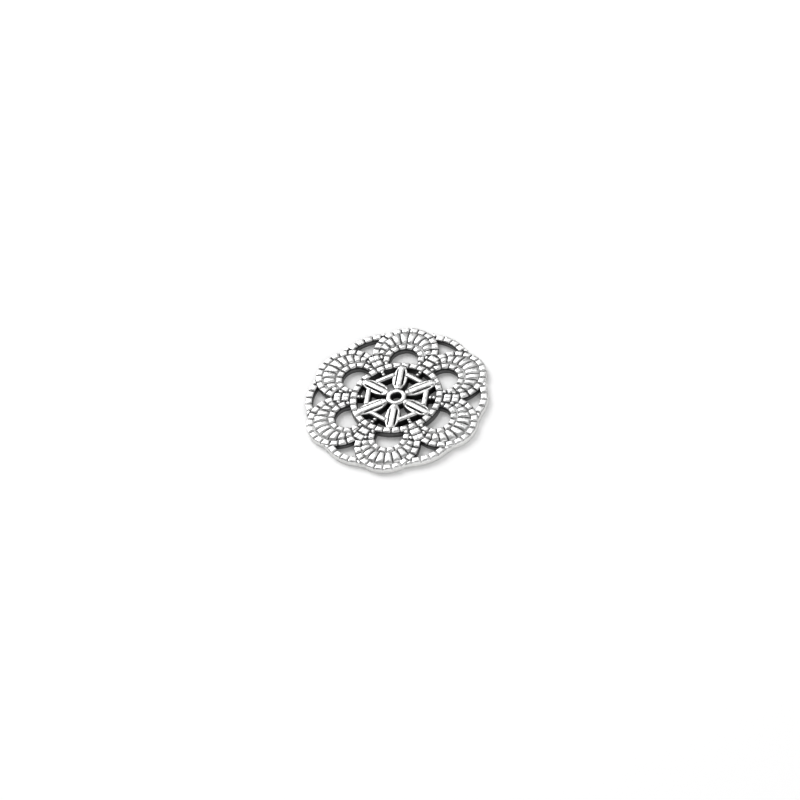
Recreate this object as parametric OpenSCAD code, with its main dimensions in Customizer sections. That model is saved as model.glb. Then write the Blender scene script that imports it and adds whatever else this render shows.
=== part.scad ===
// Flower connector: one flat casting of six lobes round a pierced rosette.
// The plain back lies on z = 0 and the relief faces up. One lobe points along +X.
// Rows of beads are cut out of rings, so a bead has four corners and stands a groove away from the next.

/* [Plate] */
// Thickness of the plate under the lobes and arcs
plate_t = 0.9; // [0.8:0.02:0.92]
// Thickness of the plate under the ring of beads and the rosette
ring_t = 1.15; // [1.05:0.05:1.2]
// Whole thickness at the rim
rim_t = 1.25; // [1.15:0.05:1.5]
// How much higher the middle stands than the rim
dome = 0.45; // [0.2:0.05:0.6]
// Plate that shows beside a row of beads
lip = 0.1; // [0.06:0.02:0.12]

/* [Lobes] */
// Distance from the middle to the centre of a lobe's hole
hole_at = 9.43; // [9.40:0.01:9.46]
// Radius of a lobe's hole
hole_r = 2.6; // [2.4:0.05:2.65]
// Distance from the middle to the centre of a lobe's round edge
lobe_at = 11.35; // [11.3:0.05:11.4]
// Radius of a lobe's round edge
lobe_r = 6.1; // [6.05:0.05:6.2]

/* [Arcs between the lobes] */
// Distance from the middle to the centre of an arc
arc_at = 8.9; // [8.85:0.05:8.95]
// Outer radius of an arc
arc_r = 8.1; // [8.05:0.05:8.2]
// Inner radius of an arc, which closes the opening behind it
arc_in_r = 6.75; // [6.6:0.05:6.8]
// Radius of the plate in the notches beside the lobes
notch_r = 16.6; // [16.5:0.05:16.7]

/* [Beads] */
// Groove between two beads
groove = 0.22; // [0.2:0.02:0.28]
// Depth of the bevel round a bead's crown
bevel_h = 0.3; // [0.2:0.02:0.32]
// Size of a bead's flat crown as a share of the bead
crown_share = 0.65; // [0.5:0.05:0.75]
// Beads in the ring round the rosette
ring_n = 32; // [30:1:34]
// Inner radius of the ring of beads
ring_in = 7.42; // [7.4:0.02:7.5]
// Outer radius of the ring of beads
ring_out = 8.52; // [8.4:0.02:8.54]

/* [Rosette] */
// Radius of the hole in the middle
bore_r = 1.05; // [0.9:0.05:1.15]
// Outer radius of the raised rim round that hole
hub_r = 1.95; // [1.93:0.01:2]
// Half the width of a petal
petal_w = 1.4; // [1.3:0.05:1.45]
// Distance from the middle to a petal's widest place
petal_mid = 4.6; // [4.5:0.05:4.7]
// Radius of a petal's bowed sides
petal_bow = 4.7; // [4.6:0.05:5]
// Distance from the middle to the inner face of the hexagon of bars
bar_in = 4.9; // [4.85:0.05:5]
// Width of those bars
bar_w = 0.95; // [0.85:0.05:1]
// Width of the struts between bars and ring
strut_w = 0.56; // [0.55:0.01:0.6]

/* [Hidden] */
$fn = 96;
metal = [0.74, 0.74, 0.72];
count = 6;                        // lobes, and petals, arcs and bars
step = 360 / count;
reach = lobe_at + lobe_r;         // from the middle to the tip of a lobe
root = 0.25;                      // height inside the plate at which beads begin
ring_mid = (ring_in + ring_out) / 2;
bar_half = 1.9;                   // half the length of a bar, which ends inside the petals
petal_in = 1.8;                   // a petal's blunt end, inside the rim of the middle hole
petal_out = ring_in + 0.2;        // a petal's tip, in the ring of beads

// Height of the relief at a distance r from the middle
function top_at(r) = rim_t + dome * (1 - pow(min(r, reach) / reach, 2));

// A point turned about the middle, and the same for a bead's four corners
function turned(p, a) = [p.x * cos(a) - p.y * sin(a), p.x * sin(a) + p.y * cos(a)];
function turned_bead(q, a) = [for (p = q) turned(p, a)];

// A bead on the other side of the X axis, with its corners still counted anticlockwise
function mirrored(q) = [for (i = [3:-1:0]) [q[i].x, -q[i].y]];

// A bead of a round row: the row's centre on the X axis, angle, width in degrees, inner and outer radius
function cell(at, a, width, r0, r1) =
    let (w0 = r0 * tan(width / 2) - groove / 2, w1 = r1 * tan(width / 2) - groove / 2)
    [for (p = [[r0, -w0], [r1, -w1], [r1, w1], [r0, w0]]) turned(p, a) + [at, 0]];

// A square bead between two distances from the middle and two from the X axis
function block(from, to, low, high) = [[from, low], [to, low], [to, high], [from, high]];

// Length of the ray at angle a from the centre of a lobe's hole to a circle round the centre of its edge
function ray_to_edge(a, r) =
    let (d = lobe_at - hole_at)
    d * cos(a) + sqrt(r * r - pow(d * sin(a), 2));

// Beads above the axis of a lobe: the row round its hole, the long bars and the row along its edge
inner_width = 25.5;
inner_r = [2.76, 3.76];
bar_width = 15.3;
bar_r = [4, 4.67];
edge_width = 16.6;
edge_taper = 0.3;
edge_r = [5, lobe_r - lip];
notch_at = 47.5;                  // the small bead in the notch between a lobe and an arc
notch_width = 8;
notch_r_by = [0.05, 0.5];         // how far beyond the lobe's edge it reaches
inner_beads = [for (i = [0:3]) cell(hole_at, (i + 0.5) * inner_width, inner_width, inner_r[0], inner_r[1])];
bar_beads = [for (i = [0:4])
    let (a = (i + 0.5) * bar_width)
    cell(hole_at, a, bar_width, bar_r[0], ray_to_edge(a, bar_r[1]))];
edge_beads = [for (i = [0:5])
    cell(lobe_at, (i + 0.5) * edge_width, edge_width - i * edge_taper, edge_r[0], edge_r[1])];
notch_bead = cell(lobe_at, notch_at, notch_width, lobe_r + notch_r_by[0], lobe_r + notch_r_by[1]);

// Beads above the axis between two lobes: the row along the arc, and the crumbs beside the knots
arc_width = 12.5;
arc_beads = [for (i = [0:1])
    cell(arc_at, (i + 0.5) * arc_width, arc_width, arc_in_r + 2 * lip, arc_r - lip)];
crumb_rows = [
    // from, to, low, high
    [8.62, 9.12, 1.24, 1.76],
    [10.3, 10.92, 1.08, 1.52]
];
crumbs = [for (k = crumb_rows) block(k[0], k[1], k[2], k[3])];

// Beads across that axis: two on a strut inside the ring, and two knots behind the opening
across_rows = [
    // from, to, half width
    [6.12, 6.6, 0.27],
    [6.78, 7.26, 0.27],
    [8.92, 10.15, 0.88],
    [10.46, 11.66, 0.95]
];
across = [for (k = across_rows) block(k[0], k[1], -k[2], k[2])];
bar_clear = 0.15;                 // how much shorter a bar's crown is than the bar, at each end
bar = block(bar_in, bar_in + bar_w, bar_clear - bar_half, bar_half - bar_clear);
ring_bead = cell(0, 0, 360 / ring_n, ring_in, ring_out);

lobe_half = concat(inner_beads, bar_beads, edge_beads, [notch_bead]);
between_half = concat(arc_beads, crumbs);
sector = concat(
    [for (q = lobe_half) each [q, mirrored(q)]],
    [for (q = between_half) each [turned_bead(q, step / 2), turned_bead(mirrored(q), step / 2)]],
    [for (q = concat(across, [bar])) turned_bead(q, step / 2)]
);
all_beads = concat(
    [for (k = [0:count - 1]) for (q = sector) turned_bead(q, k * step)],
    [for (i = [0:ring_n - 1]) turned_bead(ring_bead, i * 360 / ring_n)]
);

// Twelve points of a bead: its root in the plate, its shoulder and its smaller crown
function bead_points(q) =
    let (m = (q[0] + q[1] + q[2] + q[3]) / 4, top = top_at(norm(m)))
    concat(
        [for (p = q) [p.x, p.y, root]],
        [for (p = q) [p.x, p.y, top - bevel_h]],
        [for (p = q) let (c = m + (p - m) * crown_share) [c.x, c.y, top]]
    );
bead_faces = concat(
    [[0, 1, 2, 3], [11, 10, 9, 8]],
    [for (l = [0, 4]) for (k = [0:3]) [l + k, l + k + 4, l + (k + 1) % 4 + 4, l + (k + 1) % 4]]
);

// Every bead and bar of the relief
module beads() {
    polyhedron(
        points = [for (q = all_beads) each bead_points(q)],
        faces = [for (i = [0:len(all_beads) - 1]) for (f = bead_faces) [for (k = f) k + 12 * i]]
    );
}

// Outline of a petal: two bowed sides, cut square in the middle rim and in the ring of beads
module petal_shape() {
    intersection() {
        translate([petal_mid, petal_bow - petal_w]) circle(r = petal_bow);
        translate([petal_mid, petal_w - petal_bow]) circle(r = petal_bow);
        translate([petal_in, -petal_w]) square([petal_out - petal_in, 2 * petal_w]);
    }
}

// A petal with a rounded back and two grooves along it
module petal() {
    petal_top = top_at(petal_mid);
    crown_r = 2.8;
    vein_w = 0.24;
    vein_at = 0.62;
    vein_from = 2.95;
    vein_to = 6.45;
    vein_floor = ring_t + 0.1;
    difference() {
        intersection() {
            linear_extrude(petal_top) petal_shape();
            translate([0, 0, petal_top - crown_r]) rotate([0, 90, 0]) cylinder(r = crown_r, h = reach);
        }
        for (side = [-1, 1])
            translate([vein_from, side * vein_at - vein_w / 2, vein_floor])
                cube([vein_to - vein_from, vein_w, petal_top]);
    }
}

// The raised rim round the middle hole, with its upper edge bevelled
module hub() {
    hub_top = top_at(0);
    bevel = 0.3;
    cylinder(r = hub_r, h = hub_top - bevel);
    translate([0, 0, hub_top - bevel]) cylinder(r1 = hub_r, r2 = hub_r - bevel, h = bevel);
}

// Outline of the thicker plate: the ring, and the rosette's middle rim, petals, bars and struts
module rosette_shape() {
    difference() {
        circle(r = ring_out + lip);
        circle(r = ring_in - lip);
    }
    circle(r = hub_r);
    for (k = [0:count - 1]) {
        rotate(k * step) petal_shape();
        rotate((k + 0.5) * step) {
            translate([bar_in - lip, -bar_half]) square([bar_w + 2 * lip, 2 * bar_half]);
            translate([bar_in, -strut_w / 2]) square([ring_in - bar_in, strut_w]);
        }
    }
}

// A lobe's round hole, which the ring closes on its inner side
module lobe_hole() {
    difference() {
        translate([hole_at, 0]) circle(r = hole_r);
        circle(r = ring_mid);
    }
}

// The three-sided opening between an arc and the two lobes beside it
module arc_opening() {
    behind_knot = 11.5;
    difference() {
        intersection() {
            translate([arc_at, 0]) circle(r = arc_in_r);
            translate([behind_knot, -arc_r]) square([arc_r, 2 * arc_r]);
        }
        for (side = [-0.5, 0.5]) rotate(side * step) translate([lobe_at, 0]) circle(r = lobe_r);
    }
}

// Outline of the thinner plate round the ring
module plate_shape() {
    difference() {
        union() {
            circle(r = notch_r);
            for (k = [0:count - 1]) {
                rotate(k * step) translate([lobe_at, 0]) circle(r = lobe_r);
                rotate((k + 0.5) * step) translate([arc_at, 0]) circle(r = arc_r);
            }
        }
        circle(r = ring_mid);
        for (k = [0:count - 1]) {
            rotate(k * step) lobe_hole();
            rotate((k + 0.5) * step) arc_opening();
        }
    }
}

// The whole connector
module casting() {
    color(metal)
    difference() {
        union() {
            linear_extrude(plate_t) plate_shape();
            linear_extrude(ring_t) rosette_shape();
            beads();
            for (k = [0:count - 1]) rotate(k * step) petal();
            hub();
        }
        translate([0, 0, -1]) cylinder(r = bore_r, h = top_at(0) + 2);
    }
}

casting();
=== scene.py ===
"""Flower connector: the looks of the casting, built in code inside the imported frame."""

import math
import random

import bmesh
import bpy
from mathutils import Matrix, Vector


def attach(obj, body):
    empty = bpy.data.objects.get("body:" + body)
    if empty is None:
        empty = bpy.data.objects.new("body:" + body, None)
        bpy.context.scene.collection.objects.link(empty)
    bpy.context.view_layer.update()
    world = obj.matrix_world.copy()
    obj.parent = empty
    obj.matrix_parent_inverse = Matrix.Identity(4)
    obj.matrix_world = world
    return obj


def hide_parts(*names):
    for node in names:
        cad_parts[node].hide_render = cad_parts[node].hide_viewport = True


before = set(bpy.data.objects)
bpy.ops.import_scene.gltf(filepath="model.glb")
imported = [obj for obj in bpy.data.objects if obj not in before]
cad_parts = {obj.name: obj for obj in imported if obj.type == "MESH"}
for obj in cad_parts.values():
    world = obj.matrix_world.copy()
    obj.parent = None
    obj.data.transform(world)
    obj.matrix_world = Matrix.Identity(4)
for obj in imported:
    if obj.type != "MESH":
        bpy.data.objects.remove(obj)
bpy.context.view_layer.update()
scene = bpy.context.scene
rng = random.Random(7)

# Sizes in millimetres, as in the casting's source: one lobe points along +X and the back lies on z = 0
MM = 0.001
PLATE_T, RING_T, RIM_T, DOME = 0.9, 1.15, 1.25, 0.45
HOLE_AT, HOLE_R = 9.43, 2.6
LOBE_AT, LOBE_R = 11.35, 6.1
ARC_AT, ARC_R, ARC_IN_R, NOTCH_R = 8.9, 8.1, 6.75, 16.6
LIP, GROOVE = 0.1, 0.17
RING_N, RING_IN, RING_OUT = 32, 7.42, 8.52
BORE_R, HUB_R, HUB_SWING = 1.05, 1.93, 0.04
PETAL_IN, PETAL_TIP, PETAL_W, PETAL_MID, PETAL_BOW = 1.86, 7.8, 1.4, 4.6, 4.7
BAR_IN, BAR_W, BAR_HALF, STRUT_W = 4.9, 0.98, 1.9, 0.56
COUNT = 6
STEP = 2 * math.pi / COUNT
REACH = LOBE_AT + LOBE_R
RING_MID = (RING_IN + RING_OUT) / 2
BEYOND = 1                               # how far a cutting solid reaches past what it cuts
INNER_SEAM, OUTER_SEAM = 3.89, 4.87      # round lines on either side of a lobe's bars
SWELL, SWELL_WIDTH = 0.28, 2.9           # how much the bars swell, and how long a bar swells that much


def top_at(r):
    """Height of the relief at a distance r from the middle."""
    return RIM_T + DOME * (1 - (min(r, REACH) / REACH) ** 2)


def turned(p, a):
    """A point turned about the middle."""
    c, s = math.cos(a), math.sin(a)
    return (p[0] * c - p[1] * s, p[0] * s + p[1] * c)


# ---- Where the beads are: the same rows as in the casting's source

def cell(at, a, width, r0, r1):
    """Four corners of a bead in a round row: centre on X, angle and width in degrees, two radii."""
    half = math.tan(math.radians(width / 2))
    w0, w1 = r0 * half - GROOVE / 2, r1 * half - GROOVE / 2
    corners = ((r0, -w0), (r1, -w1), (r1, w1), (r0, w0))
    return [(x + at, y) for x, y in (turned(p, math.radians(a)) for p in corners)]


def block(start, end, low, high):
    return [(start, low), (end, low), (end, high), (start, high)]


def mirrored(q):
    return [(x, -y) for x, y in reversed(q)]


def ray_to_edge(a, r):
    d = LOBE_AT - HOLE_AT
    a = math.radians(a)
    return d * math.cos(a) + math.sqrt(r * r - (d * math.sin(a)) ** 2)


def turned_bead(q, a):
    return [turned(p, a) for p in q]


inner_row = [cell(HOLE_AT, (i + 0.5) * 25.5, 25.5, HOLE_R + 0.04, 3.8) for i in range(4)]
bar_row = [cell(HOLE_AT, (i + 0.5) * 15.3, 15.3, 3.98, ray_to_edge((i + 0.5) * 15.3, 4.83)) for i in range(5)]
edge_row = [cell(LOBE_AT, (i + 0.5) * 16.6, 16.6 - 0.2 * i, 4.91, LOBE_R - 0.03) for i in range(6)]
arc_row = [cell(ARC_AT, (i + 0.5) * 12.5, 12.5, ARC_IN_R + 0.05, ARC_R - 0.03) for i in range(2)]
notch_bead = cell(LOBE_AT, 47.5, 9, LOBE_R + 0.05, LOBE_R + 0.52)
knots = [block(8.88, 10.16, -0.1, 0.92), block(10.42, 11.68, -0.1, 0.98)]
crumbs = [block(10.26, 10.95, 1.04, 1.54), block(8.5, 9.12, 1.2, 1.82)]
strut_beads = [block(6.1, 6.62, -0.3, 0.3), block(6.76, 7.28, -0.3, 0.3)]
ring_bead = cell(0, 0, 360 / RING_N, RING_IN - 0.07, RING_OUT + 0.08)


# ---- Meshes, in millimetres until the casting is whole

class Shell:
    """Points and faces of closed solids, gathered in lists."""

    def __init__(self):
        self.points, self.faces = [], []

    def rings(self, rings):
        """Joins rings of points, which run anticlockwise seen from the last ring, and closes both ends."""
        base, n = len(self.points), len(rings[0])
        for ring in rings:
            self.points += ring
        for level in range(len(rings) - 1):
            for k in range(n):
                a, b = base + level * n + k, base + level * n + (k + 1) % n
                self.faces.append((a, b, b + n, a + n))
        self.faces.append(tuple(base + k for k in reversed(range(n))))
        self.faces.append(tuple(base + (len(rings) - 1) * n + k for k in range(n)))

    def made(self, name):
        mesh = bpy.data.meshes.new(name)
        mesh.from_pydata(self.points, [], self.faces)
        mesh.update()
        obj = bpy.data.objects.new(name, mesh)
        scene.collection.objects.link(obj)
        return obj


def outline_of(quad, corner):
    """The quad's outline with round corners, as points anticlockwise."""
    q = [Vector(p) for p in quad]
    points = []
    for k in range(4):
        here, before, after = q[k], q[k - 1], q[(k + 1) % 4]
        a = here + (before - here).normalized() * corner
        b = here + (after - here).normalized() * corner
        for s in (0, 0.33, 0.67, 1):
            points.append(a * (1 - s) ** 2 + here * (2 * s * (1 - s)) + b * s * s)
        end = after + (here - after).normalized() * corner
        length = (end - b).length
        extra = 5 if length > 1.6 else 2 if length > 0.9 else 1 if length > 0.4 else 0
        for i in range(extra):
            points.append(b.lerp(end, (i + 1) / (extra + 1)))
    return points


def spine_of(quad):
    """The middle line of a bead's crown, as two ends."""
    q = [Vector(p) for p in quad]
    mid = [(q[k] + q[(k + 1) % 4]) / 2 for k in range(4)]
    width = [(q[k] - q[(k + 1) % 4]).length / 2 for k in range(4)]
    i = 0 if (mid[0] - mid[2]).length > (mid[1] - mid[3]).length else 1
    a, b = mid[i], mid[i + 2]
    wa, wb, long = width[i], width[i + 2], (b - a).length
    if wa + wb >= long:
        c = a.lerp(b, wa / (wa + wb))
        return c, c
    return a.lerp(b, wa / long), b.lerp(a, wb / long)


def nearest_on(p, a, b):
    d = b - a
    if d.length_squared < 1e-12:
        return a
    return a + d * max(0, min(1, (p - a).dot(d) / d.length_squared))


CROWN = (1, 0.97, 0.91, 0.82, 0.68, 0.5, 0.3)


def loose(amount):
    return Vector((rng.uniform(-amount, amount), rng.uniform(-amount, amount)))


def pillow(shell, quad, root, fall=0.34, power=2.6, wobble=1.0):
    """A cushion-shaped bead: a straight side from root, and a crown that rounds over by fall.

    A higher power makes a flatter crown. wobble scales the bead's random shift, tilt, lift and shape.
    """
    centre = sum((Vector(p) for p in quad), Vector((0, 0))) / 4
    shift, tilt = loose(0.012 * wobble), loose(0.055 * wobble)
    lift = rng.uniform(-0.03, 0.03) * wobble
    quad = [Vector(p) + shift + loose(0.03 * wobble) for p in quad]
    small = min((quad[k] - quad[(k + 1) % 4]).length for k in range(4)) / 2
    outline = outline_of(quad, min(0.15, 0.45 * small))
    a, b = spine_of(quad)
    fall = min(fall, 0.75 * small)

    def height(p, e):
        z = top_at(p.length) + lift + tilt.dot(p - centre)
        return z - fall * (1 - (1 - e ** power) ** (1 / power))

    rings = [[(p.x, p.y, root) for p in outline]]
    for e in CROWN:
        ring = [nearest_on(p, a, b).lerp(p, e) for p in outline]
        rings.append([(p.x, p.y, height(p, e)) for p in ring])
    shell.rings(rings)


def quarter(r, z, radius, start, steps=(0, 30, 60, 90)):
    """A quarter circle of an outline about (r, z), anticlockwise from start, in degrees."""
    angles = [math.radians(start + step) for step in steps]
    return [(r + radius * math.cos(a), z + radius * math.sin(a)) for a in angles]


def lathe(shell, at, profile_at, segments, ring=False):
    """A solid turned about a vertical axis. profile_at gives its outline, as radius and height, at an angle.

    A ring's outline is closed, and so it has no caps.
    """
    base, n = len(shell.points), len(profile_at(0))
    for k in range(segments):
        a = 2 * math.pi * k / segments
        for r, z in profile_at(a):
            shell.points.append((at[0] + r * math.cos(a), at[1] + r * math.sin(a), z))
    for k in range(segments):
        for i in range(n):
            p, q = base + k * n + i, base + (k + 1) % segments * n + i
            r, s = base + (k + 1) % segments * n + (i + 1) % n, base + k * n + (i + 1) % n
            if i < n - 1 or ring:
                shell.faces.append((p, q, r, s))
    if not ring:
        shell.faces.append(tuple(base + k * n for k in reversed(range(segments))))
        shell.faces.append(tuple(base + k * n + n - 1 for k in range(segments)))


def disc(at, radius, low, high, soft=0.1, segments=128, foot=None):
    """A round plate whose rims are rounded by soft, the lower one by foot.

    A negative soft flares at both ends instead, to cut a hole with soft edges.
    """
    shell = Shell()
    s = abs(soft)
    f = s if foot is None else foot
    if soft >= 0:
        profile = quarter(radius - f, low + f, f, -90) + quarter(radius - s, high - s, s, 0)
    else:
        profile = [(radius + s, low - BEYOND)]
        profile += reversed(quarter(radius + s, low + s, s, 180))
        profile += reversed(quarter(radius + s, high - s, s, 90))
        profile += [(radius + s, high + BEYOND)]
    lathe(shell, at, lambda a: profile, segments)
    return shell.made("disc")


def tube(inner, outer, low, high, soft=0.1, segments=160):
    """A flat ring about the middle with rounded rims."""
    shell = Shell()
    profile = quarter(outer - soft, low + soft, soft, -90) + quarter(outer - soft, high - soft, soft, 0)
    profile += quarter(inner + soft, high - soft, soft, 90) + quarter(inner + soft, low + soft, soft, 180)
    lathe(shell, (0, 0), lambda a: profile, segments, ring=True)
    return shell.made("tube")


def box(x0, x1, y0, y1, z0, z1):
    shell = Shell()
    shell.rings([[(x, y, z) for x, y in block(x0, x1, y0, y1)] for z in (z0, z1)])
    return shell.made("box")


def copy_turned(obj, a):
    made = obj.copy()
    made.data = obj.data.copy()
    made.data.transform(Matrix.Rotation(a, 4, "Z"))
    scene.collection.objects.link(made)
    return made


def discard(obj):
    mesh = obj.data
    bpy.data.objects.remove(obj)
    bpy.data.meshes.remove(mesh)


def volume(obj):
    bm = bmesh.new()
    bm.from_mesh(obj.data)
    v = bm.calc_volume()
    bm.free()
    return v


def combine(target, others, operation):
    """Adds the other solids to the target or takes them away, and deletes them."""
    for other in others:
        mod = target.modifiers.new("combine", "BOOLEAN")
        mod.operation, mod.solver, mod.object = operation, "MANIFOLD", other
        graph = bpy.context.evaluated_depsgraph_get()
        mesh = bpy.data.meshes.new_from_object(target.evaluated_get(graph))
        old = target.data
        target.modifiers.clear()
        target.data = mesh
        bpy.data.meshes.remove(old)
        discard(other)
    return target


def around(obj, offset=0.0):
    """The object at all six places round the middle."""
    made = [copy_turned(obj, (k + offset) * STEP) for k in range(COUNT)]
    discard(obj)
    return made


# ---- The plate, and under the beads a bed that keeps the grooves shallow
SOFT, FOOT = 0.1, 0.28                    # rounding of the plate's edges, and of its foot
BED_UNDER = 0.34
BEHIND_KNOT = 11.5                        # where the opening behind an arc begins


def plan(low, high, soft, inset, foot=None):
    """The pierced plate: arcs first, then the lobes over them and the holes, all edges drawn in by inset."""
    body = disc((0, 0), NOTCH_R - inset, low, high, soft, 192, foot)
    combine(body, around(disc((ARC_AT, 0), ARC_R - inset, low, high, soft, 160, foot), 0.5), "UNION")
    opening = disc((ARC_AT, 0), ARC_IN_R + inset, low, high, -soft, 160)
    combine(opening, [box(BEHIND_KNOT - inset, REACH + BEYOND, -ARC_R, ARC_R, -3, 4)], "INTERSECT")
    combine(body, around(opening, 0.5), "DIFFERENCE")
    combine(body, around(disc((LOBE_AT, 0), LOBE_R - inset, low, high, soft, 128, foot)), "UNION")
    combine(body, around(disc((HOLE_AT, 0), HOLE_R + inset, low, high, -soft, 96)), "DIFFERENCE")
    return combine(body, [disc((0, 0), RING_MID, -BEYOND, high + BEYOND, 0.02, 128)], "DIFFERENCE")


def bed_dome():
    """Everything lower than the relief by BED_UNDER."""
    shell = Shell()
    stops = [17.8, 16.5, 15, 13.5, 12, 10.5, 9, 7.5, 6]
    profile = [(stops[0], 0.2)] + [(r, top_at(r) - BED_UNDER) for r in stops]
    lathe(shell, (0, 0), lambda a: profile, 128)
    return shell.made("bed_dome")


def seam(shell, at, r0, r1, reach, under, a):
    """A shallow web along a round line between two rows: reach in degrees each way, under the relief by under."""
    sections, n = [], 36
    for i in range(n + 1):
        t = math.radians(reach) * (2 * i / n - 1)
        low, high = (Vector(turned((at + r * math.cos(t), r * math.sin(t)), a)) for r in (r0, r1))
        sections.append([(low.x, low.y, 0.5), (low.x, low.y, top_at(low.length) - under),
                         (high.x, high.y, top_at(high.length) - under), (high.x, high.y, 0.5)])
    shell.rings(sections)


plate = plan(0, PLATE_T, SOFT, 0, FOOT)
combine(plate, [tube(RING_IN - LIP, RING_OUT + LIP, 0, RING_T, SOFT)], "UNION")
bed = combine(plan(0.5, 1.7, 0.03, 0.13), [bed_dome()], "INTERSECT")
bed_ring = tube(RING_IN + 0.04, RING_OUT, 0.5, top_at(RING_MID) - BED_UNDER, 0.03)


seams = Shell()
for k in range(COUNT):
    seam(seams, HOLE_AT, INNER_SEAM - 0.15, INNER_SEAM + 0.15, 76, 0.27, k * STEP)
    seam(seams, LOBE_AT, OUTER_SEAM - 0.11, OUTER_SEAM + 0.11, 80, 0.28, k * STEP)
seams = seams.made("seams")


# ---- The rosette
def petal_half(x):
    """Half the width of a petal at a distance x from the middle, with its blunt round tip."""
    last = 6.95
    w = math.sqrt(PETAL_BOW ** 2 - (min(x, last) - PETAL_MID) ** 2) - (PETAL_BOW - PETAL_W)
    w += 0.13 * max(0, min(1, (x - 5.3) / 1.5))
    if x > last:
        w *= math.sqrt(max(0.0, 1 - ((x - last) / (PETAL_TIP - last)) ** 2.4))
    return w


def smooth(x, low, high):
    t = max(0.0, min(1.0, (x - low) / (high - low)))
    return t * t * (3 - 2 * t)


def petal_height(x, y, w):
    """Height of a petal's back: a raised middle band, a groove along each side of it and a lower edge."""
    vein_at, steep, gentle, vein_deep, edge_down = 0.57, 0.15, 0.28, 0.5, 0.13
    t = abs(y)
    z = top_at(x) + 0.04 - 0.05 * (min(t, vein_at) / vein_at) ** 2 - 0.05 * (t / PETAL_W) ** 2
    vein = smooth(t, vein_at - steep, vein_at) - (1 - edge_down / vein_deep) * smooth(t, vein_at, vein_at + gentle)
    plain = edge_down * smooth(t, 0.2, 1.0)
    window = smooth(x, 2.75, 3.25) * (1 - smooth(x, 6.2, 7.0))
    z -= vein_deep * vein * window + plain * (1 - window)
    z -= 0.06 * math.exp(-((x - 2.72) / 0.1) ** 2)
    near_edge = 1 - smooth(w - t, 0.0, 0.14)
    near_end = 1 - smooth(x - PETAL_IN, 0.0, 0.18)
    near_tip = smooth(x, 7.3, PETAL_TIP)
    return z - 0.12 * near_edge ** 2 - 0.22 * near_end ** 2 - 0.14 * near_tip


def petal():
    """A petal along X. The stops are closer where its end, its grooves' start and its tip need them."""
    stops = [PETAL_IN + t for t in (0, 0.04, 0.1, 0.18, 0.28, 0.42, 0.58)]
    stops += [2.66, 2.72, 2.78, 2.84, 2.92, 3.02, 3.12, 3.25]
    stops += [3.25 + 0.2 * k for k in range(1, 15)] + [6.2, 6.35, 6.5, 6.65, 6.8, 6.95]
    stops += [PETAL_TIP - (PETAL_TIP - 6.95) * (1 - t) for t in (0.2, 0.4, 0.58, 0.73, 0.85, 0.93, 0.98, 0.998)]
    across = [0, 0.14, 0.28, 0.38, 0.43, 0.46, 0.49, 0.52, 0.55, 0.59, 0.64, 0.7, 0.77, 0.85]
    edge = [0.15, 0.35, 0.55, 0.72, 0.85, 0.94, 1.0]
    shell = Shell()
    rows = []
    for x in stops:
        w = petal_half(x)
        scale = min(1.0, w / 1.04)
        ys = [u * scale for u in across]
        ys += [ys[-1] + (w - ys[-1]) * t for t in edge]
        ys = [-y for y in reversed(ys[1:])] + ys
        rows.append([(x, y, petal_height(x, y, w)) for y in ys])
    n = len(rows[0])
    for row in rows:
        shell.points += row
    for i in range(len(rows) - 1):
        for k in range(n - 1):
            a = i * n + k
            shell.faces.append((a, a + n, a + n + 1, a + 1))
    rim = [k for k in range(n)]
    rim += [i * n + n - 1 for i in range(1, len(rows))]
    rim += [(len(rows) - 1) * n + k for k in range(n - 2, -1, -1)]
    rim += [i * n for i in range(len(rows) - 2, 0, -1)]
    base = len(shell.points)
    for k in rim:
        x, y, _ = shell.points[k]
        shell.points.append((x, y, 0.0))
    m = len(rim)
    for k in range(m):
        shell.faces.append((rim[k], rim[(k + 1) % m], base + (k + 1) % m, base + k))
    shell.faces.append(tuple(base + k for k in range(m)))
    return shell.made("petal")


def petal_room(gap):
    """The space round a petal's tip, which keeps the ring's beads clear of it."""
    shell = Shell()
    xs = [6.2, 6.6, 6.95, 7.15, 7.3, 7.42, 7.53, 7.62, 7.7, 7.76, 7.795]
    side = [(x, petal_half(x) + gap) for x in xs]
    side += [(PETAL_TIP + gap * 0.7, petal_half(7.76) * 0.5), (PETAL_TIP + gap, 0.0)]
    outline = [(x, -y) for x, y in side] + [(x, y) for x, y in reversed(side[:-1])]
    shell.rings([[(x, y, z) for x, y in outline] for z in (RING_T + 0.1, 3)])
    return shell.made("petal_room")


def hub():
    """The raised rim round the middle hole. Its outside swings out a little towards each petal."""
    top = top_at(0) + 0.02
    low, s_out, s_in = 0.08, 0.3, 0.14
    steps = (0, 22, 45, 67, 90)

    def profile_at(a):
        outer = HUB_R + HUB_SWING * math.cos(COUNT * a)
        profile = [(BORE_R + low, 0.0), (outer - low, 0.0), (outer, low)]
        profile += quarter(outer - s_out, top - s_out, s_out, 0, steps)
        profile += quarter(BORE_R + s_in, top - s_in, s_in, 90, steps)
        return profile + [(BORE_R, low)]

    shell = Shell()
    lathe(shell, (0, 0), profile_at, 120, ring=True)
    return shell.made("hub")


def slab(quad, high, soft=0.06):
    """A plain bar of the lattice, with softened upper edges."""
    shell = Shell()
    outline = outline_of(quad, 0.03)
    a, b = spine_of(quad)
    small = min((Vector(quad[k]) - Vector(quad[(k + 1) % 4])).length for k in range(4)) / 2
    rings = [[(p.x, p.y, 0.0) for p in outline], [(p.x, p.y, high - soft) for p in outline]]
    for inset, down in ((0.3, 0.3), (1.0, 0.0)):
        share = 1 - inset * soft / small
        ring = [nearest_on(p, a, b).lerp(p, share) for p in outline]
        rings.append([(p.x, p.y, high - soft * down) for p in ring])
    shell.rings(rings)
    return shell.made("slab")


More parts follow.
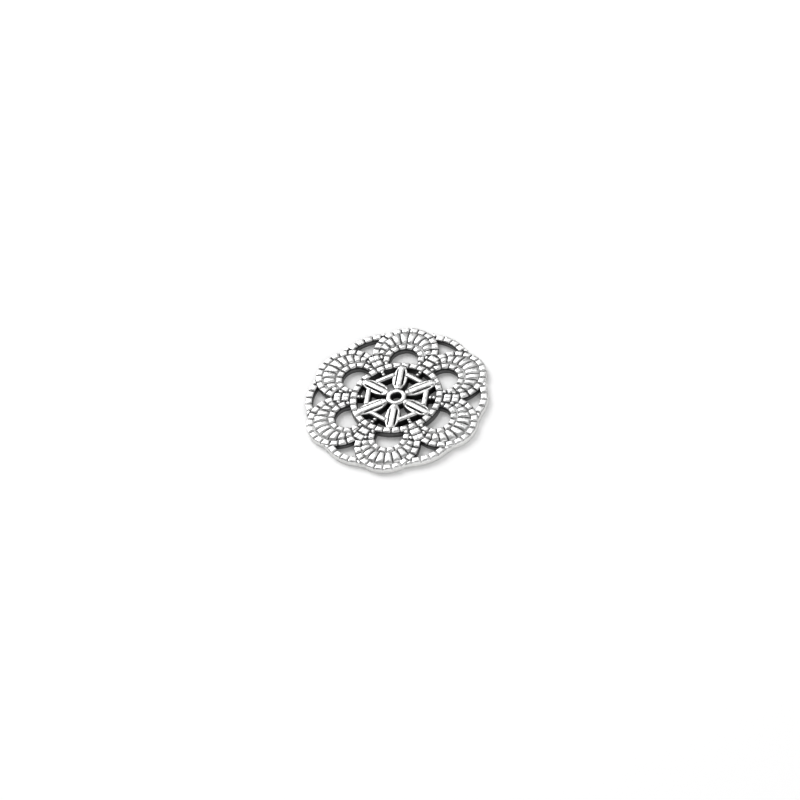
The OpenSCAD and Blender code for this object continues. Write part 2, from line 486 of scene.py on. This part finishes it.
def row_of(cells, offset=0.0, fall=0.34):
    """The beads of a row and of its mirror image, at all six places."""
    shell = Shell()
    for k in range(COUNT):
        for q in cells:
            pillow(shell, turned_bead(q, (k + offset) * STEP), 0.3, fall)
            pillow(shell, turned_bead(mirrored(q), (k + offset) * STEP), 0.3, fall)
    return shell.made("row")


def knot_half(side):
    """One half of the knots between the lobes. The two halves overlap a little on the axis."""
    shell = Shell()
    for k in range(COUNT):
        for q in knots:
            pillow(shell, turned_bead(q if side > 0 else mirrored(q), (k + 0.5) * STEP), 0.3, 0.26, wobble=0.5)
    return shell.made("knots")


rows = [row_of(inner_row), row_of(bar_row), row_of(edge_row, 0.0, 0.24), row_of(arc_row, 0.5, 0.24),
        row_of([notch_bead]), row_of(crumbs, 0.5, 0.22), knot_half(1), knot_half(-1)]
ring_beads = Shell()
for i in range(RING_N):
    pillow(ring_beads, turned_bead(ring_bead, 2 * math.pi * i / RING_N), 0.4)
ring_beads = ring_beads.made("ring_beads")
combine(ring_beads, around(petal_room(0.1)), "DIFFERENCE")

trellis = Shell()
for k in range(COUNT):
    a = (k + 0.5) * STEP
    pillow(trellis, turned_bead(block(BAR_IN, BAR_IN + BAR_W, -BAR_HALF, BAR_HALF), a), 0.0,
           fall=0.32, power=2.8, wobble=0.5)
    for q in strut_beads:
        pillow(trellis, turned_bead(q, a), 0.3, fall=0.25)
trellis = trellis.made("trellis")

casting = hub()
casting.name = "connector"
combine(casting, around(petal()), "UNION")
combine(casting, around(slab(block(5.6, RING_IN, -STRUT_W / 2, STRUT_W / 2), RING_T), 0.5), "UNION")
combine(casting, [trellis], "UNION")
combine(casting, [plate, bed, bed_ring, seams, ring_beads] + rows, "UNION")


def swell(x, y):
    """How much the relief rises where a lobe's bars are: nothing at their ends, most at their middle."""
    px, py = turned((x, y), -round(math.atan2(y, x) / STEP) * STEP)
    inner = math.hypot(px - HOLE_AT, py) - INNER_SEAM
    outer = OUTER_SEAM - math.hypot(px - LOBE_AT, py)
    if inner <= 0 or outer <= 0:
        return 0.0
    arch = 4 * inner * outer / (inner + outer) ** 2
    return SWELL * arch * min(1, (inner + outer) / SWELL_WIDTH) * smooth(math.hypot(x, y), RING_OUT, 10.0)


rise = casting.data.attributes.new("rise", "FLOAT", "POINT")
for point, kept in zip(casting.data.vertices, rise.data):
    kept.value = swell(point.co.x, point.co.y)
    point.co.z += kept.value * smooth(point.co.z, 0.5, 0.95)

casting.data.transform(Matrix.Scale(MM, 4))
print("connector:", len(casting.data.vertices), "points,", sum(len(p.vertices) - 2 for p in casting.data.polygons),
      "triangles,", round(volume(casting) * 1e9, 1), "mm3")
casting.data.name = "connector"
for p in casting.data.polygons:
    p.use_smooth = True
casting.data.set_sharp_from_angle(angle=math.radians(38))


# ---- Materials
def nodes_of(name):
    """A new material, its shader, and two calls that add and link its nodes."""
    mat = bpy.data.materials.new(name)
    mat.use_nodes = True
    tree = mat.node_tree
    shader = tree.nodes["Principled BSDF"]

    def add(kind, **inputs):
        node = tree.nodes.new(kind)
        for key, value in inputs.items():
            if hasattr(node, key):
                setattr(node, key, value)
        return node

    def link(a, b):
        tree.links.new(a, b)

    return mat, shader, add, link


def silver():
    """Antique silver: bright on the tops, black in the grooves, grey down the holes' walls, pale on the rim's
    outward slopes; painted light makes the rim's outer wall and its grooves pale on the camera's side.
    """
    mat, shader, add, link = nodes_of("antique_silver")

    def feed(socket, value):
        if isinstance(value, (int, float)):
            socket.default_value = value
        else:
            link(value, socket)

    def math_of(operation, a, b=0.0, c=0.0):
        node = add("ShaderNodeMath", operation=operation)
        for socket, value in zip(node.inputs, (a, b, c)):
            feed(socket, value)
        return node.outputs[0]

    def step_of(value, low, high):
        node = add("ShaderNodeMapRange", interpolation_type="SMOOTHSTEP")
        feed(node.inputs["Value"], value)
        feed(node.inputs["From Min"], low)
        feed(node.inputs["From Max"], high)
        return node.outputs["Result"]

    def mix_of(share, a, b):
        node = add("ShaderNodeMix", data_type="RGBA")
        feed(node.inputs[0], share)
        for socket, value in ((node.inputs[6], a), (node.inputs[7], b)):
            if isinstance(value, tuple):
                socket.default_value = value
            else:
                link(value, socket)
        return node.outputs[2]

    def grey(value, blue=None):
        return (value, value, value if blue is None else blue, 1)

    def number_mix(share, a, b):
        return math_of("ADD", math_of("MULTIPLY", math_of("SUBTRACT", b, a), share), a)

    coords = add("ShaderNodeTexCoord")
    scaled = add("ShaderNodeVectorMath", operation="SCALE")
    link(coords.outputs["Object"], scaled.inputs[0])
    scaled.inputs["Scale"].default_value = 1 / MM
    split = add("ShaderNodeSeparateXYZ")
    link(scaled.outputs[0], split.inputs[0])
    x, y, z = split.outputs
    facing = add("ShaderNodeSeparateXYZ")
    link(coords.outputs["Normal"], facing.inputs[0])
    r2 = math_of("MULTIPLY_ADD", x, x, math_of("MULTIPLY", y, y))
    r = math_of("SQRT", r2)
    top = math_of("SUBTRACT", RIM_T + DOME, math_of("MULTIPLY", r2, DOME / REACH ** 2))

    def noise(scale, detail=3.0, roughness=0.55, stretch=None):
        node = add("ShaderNodeTexNoise")
        node.inputs["Scale"].default_value = scale
        node.inputs["Detail"].default_value = detail
        node.inputs["Roughness"].default_value = roughness
        source = scaled.outputs[0]
        if stretch:
            mapping = add("ShaderNodeMapping")
            mapping.inputs["Rotation"].default_value = (0, 0, stretch[0])
            mapping.inputs["Scale"].default_value = stretch[1]
            link(source, mapping.inputs["Vector"])
            source = mapping.outputs[0]
        link(source, node.inputs["Vector"])
        return node.outputs["Fac"]

    cloud, grain = noise(1.3, 4.0), noise(6.0, 3.0)
    rise = add("ShaderNodeAttribute", attribute_name="rise").outputs["Fac"]
    depth = math_of("SUBTRACT", math_of("ADD", top, rise), z)
    stain = math_of("MULTIPLY_ADD", math_of("SUBTRACT", grain, 0.5), 0.12, depth)
    patina = step_of(stain, 0.15, 0.36)
    level = math_of("MULTIPLY_ADD", math_of("LESS_THAN", r, RING_OUT + LIP + 0.03), RING_T - PLATE_T, PLATE_T)
    wall = math_of("SUBTRACT", 1.0, step_of(math_of("SUBTRACT", z, level), -0.14, -0.03))
    outer = step_of(r, 15.75, 16.1)
    behind = math_of("MULTIPLY_ADD", x, 0.21, math_of("MULTIPLY", y, 0.98))
    # near rises towards the camera's side; it carries painted light onto the rim below.
    near = step_of(behind, 7.0, -9.0)
    rim = math_of("MULTIPLY", step_of(r, 15.0, 16.3), near)
    inner = step_of(r, 7.1, 7.5)
    outward = math_of("MULTIPLY_ADD", x, facing.outputs[0], math_of("MULTIPLY", y, facing.outputs[1]))
    # The rim's outward-facing slopes are made pale (0.9) all round, over the dark colour.
    pale_outward_slopes = math_of("MULTIPLY", step_of(math_of("DIVIDE", outward, r), 0.25, 0.6), step_of(r, 15.0, 15.8))
    back = math_of("LESS_THAN", facing.outputs[2], -0.5)

    mottle = step_of(math_of("ADD", cloud, grain), 0.68, 1.32)
    bright = mix_of(inner, mix_of(mottle, grey(0.3, 0.298), grey(0.6, 0.595)),
                    mix_of(mottle, grey(0.42, 0.418), grey(0.82, 0.815)))
    wall_grey = mix_of(inner, grey(0.02, 0.021), grey(0.16))
    # Painted light: the rim's outer wall is pale (0.86) on the camera's side and grey (0.4) away from it, set by
    # position alone.
    rim_wall_painted_light = mix_of(step_of(behind, 4.0, -2.0), grey(0.4, 0.396), grey(0.86, 0.85))
    wall_grey = mix_of(outer, wall_grey, rim_wall_painted_light)
    # Painted light: the rim's grooves are pale (0.45) instead of black (0.05) on the camera's side.
    dark = mix_of(rim, grey(0.05, 0.051), grey(0.45))
    dark = mix_of(pale_outward_slopes, dark, grey(0.9, 0.89))
    colour = mix_of(patina, bright, dark)
    colour = mix_of(wall, colour, wall_grey)
    colour = mix_of(back, colour, mix_of(cloud, grey(0.45), grey(0.62, 0.61)))
    link(colour, shader.inputs["Base Color"])

    rough = number_mix(patina, math_of("MULTIPLY_ADD", grain, 0.25, 0.22), 0.6)
    rough = number_mix(wall, rough, number_mix(outer, 0.42, 0.85))
    link(rough, shader.inputs["Roughness"])
    shader.inputs["Metallic"].default_value = 1.0

    scratch = noise(3.0, 5.0, 0.7, (0.5, (1.0, 14.0, 1.0)))
    relief = math_of("MULTIPLY_ADD", scratch, 0.35, math_of("MULTIPLY", grain, 0.65))
    bump = add("ShaderNodeBump")
    bump.inputs["Strength"].default_value = 0.5
    bump.inputs["Distance"].default_value = 0.03 * MM
    link(relief, bump.inputs["Height"])
    link(bump.outputs[0], shader.inputs["Normal"])
    return mat


def paper():
    mat, shader, add, link = nodes_of("paper")
    shader.inputs["Base Color"].default_value = (0.93, 0.93, 0.93, 1)
    shader.inputs["Roughness"].default_value = 0.9
    shader.inputs["Specular IOR Level"].default_value = 0.1
    return mat


casting.data.materials.clear()
casting.data.materials.append(silver())
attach(casting, "root")
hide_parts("casting")

# ---- Floor, light and camera
floor_mesh = bpy.data.meshes.new("floor")
half = 1.5                               # of the floor's side, in metres
floor_mesh.from_pydata([(-half, -half, 0), (half, -half, 0), (half, half, 0), (-half, half, 0)], [], [(0, 1, 2, 3)])
floor = bpy.data.objects.new("floor", floor_mesh)
floor.data.materials.append(paper())
scene.collection.objects.link(floor)

# Where the photograph was taken from
AZIMUTH, ELEVATION, ROLL = math.radians(-12.33), math.radians(46.8), math.radians(-12.45)
away = Vector((-math.sin(AZIMUTH), math.cos(AZIMUTH), 0))
right = Vector((math.cos(AZIMUTH), math.sin(AZIMUTH), 0))


def area_light(name, side, far, high, size, strength, target=(0, 0, 0.001)):
    """A soft square light, placed by how far right of, beyond and above the object it is, seen from the camera."""
    data = bpy.data.lights.new(name, "AREA")
    data.shape, data.size = "SQUARE", size
    data.energy = strength * math.pi * size * size
    light = bpy.data.objects.new(name, data)
    light.location = right * side + away * far + Vector((0, 0, high))
    light.rotation_mode = "QUATERNION"
    light.rotation_quaternion = (light.location - Vector(target)).to_track_quat("Z", "Y")
    light.visible_camera = False
    scene.collection.objects.link(light)


area_light("key", -0.6, 1.3, 1.2, 1.2, 6.8)
area_light("panel", 0.9, 1.0, 1.6, 1.6, 1.2)
area_light("fill", 0.3, -1.9, 0.7, 2.4, 1.5)

world = bpy.data.worlds.new("studio")
world.use_nodes = True
world.node_tree.nodes["Background"].inputs["Color"].default_value = (1, 1, 1, 1)
world.node_tree.nodes["Background"].inputs["Strength"].default_value = 0.31
scene.world = world
scene.view_settings.view_transform = "Standard"

# The camera stands where the photograph was taken from. The rim's height at the middle is its aim.
DISTANCE = 2.5
PIXELS_PER_MM = 5.47
back_way = Vector((math.sin(AZIMUTH) * math.cos(ELEVATION), -math.cos(AZIMUTH) * math.cos(ELEVATION),
                   math.sin(ELEVATION)))
up = back_way.cross(right)
cam_right = right * math.cos(ROLL) + up * math.sin(ROLL)
cam_up = up * math.cos(ROLL) - right * math.sin(ROLL)
aim = Vector((0, 0, RIM_T * MM))
aim_pixel = (396.4, 398.0)
shift_right = (400 - aim_pixel[0]) / PIXELS_PER_MM * MM
shift_up = (aim_pixel[1] - 400) / PIXELS_PER_MM * MM
camera_data = bpy.data.cameras.new("camera")
camera_data.sensor_width = 36
camera_data.lens = PIXELS_PER_MM / MM * DISTANCE / 800 * 36
camera_data.clip_start, camera_data.clip_end = 0.05, 20
camera = bpy.data.objects.new("camera", camera_data)
place = aim + back_way * DISTANCE + cam_right * shift_right + cam_up * shift_up
camera.matrix_world = Matrix.Translation(place) @ Matrix((cam_right, cam_up, back_way)).transposed().to_4x4()
scene.collection.objects.link(camera)
scene.camera = camera
